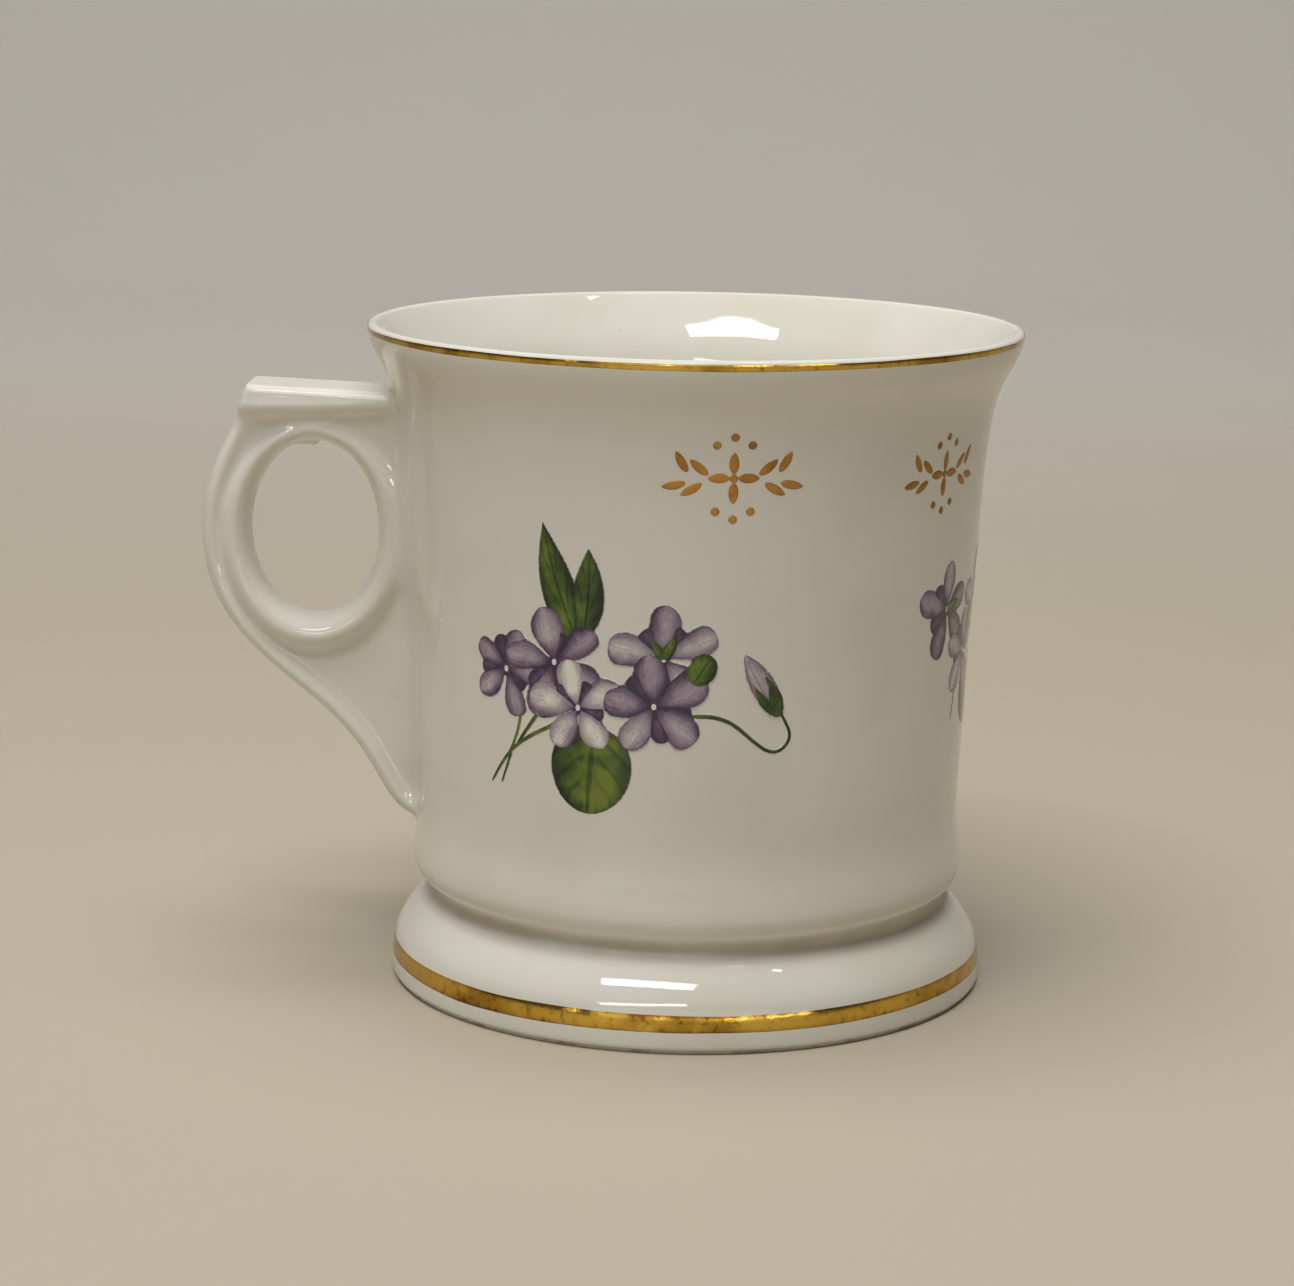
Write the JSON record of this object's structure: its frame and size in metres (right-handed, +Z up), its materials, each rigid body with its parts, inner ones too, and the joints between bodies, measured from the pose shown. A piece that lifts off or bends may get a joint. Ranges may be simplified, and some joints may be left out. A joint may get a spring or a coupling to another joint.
{
  "type": "shaving mug",
  "caption": "Flared china shaving mug on a pedestal foot, with a pierced ear handle, thumb rest, gilt lines and violet sprays; holds a soap puck and lather.",
  "frame": {"origin": "on the mug's axis at the plane of the standing ring", "axes": "+Z up along the mug's axis; handle towards -X; decorated front faces -Y"},
  "size_m": [0.11, 0.0876, 0.089],
  "materials": {
    "white_glaze": "gloss",
    "bare_body": "matte",
    "gilt": "gloss",
    "gilt_ornament": "satin",
    "violet_enamel": "gloss",
    "green_enamel": "gloss"
  },
  "bodies": {
    "root": {"cup_body": "white_glaze", "pedestal_foot": "white_glaze", "foot_luting_seam": "white_glaze", "foot_ring_bare": "bare_body", "handle": "white_glaze", "handle_luting_slip": "white_glaze", "rim_gilt_line": "gilt", "foot_gilt_band": "gilt", "front_spray_petals": "violet_enamel", "front_spray_leaves": "green_enamel", "front_spray_stems": "green_enamel", "side_spray_petals": "violet_enamel", "side_spray_leaves": "green_enamel", "side_spray_stems": "green_enamel", "gilt_ornament_front": "gilt_ornament", "gilt_ornament_side": "gilt_ornament"}
  },
  "joints": []
}
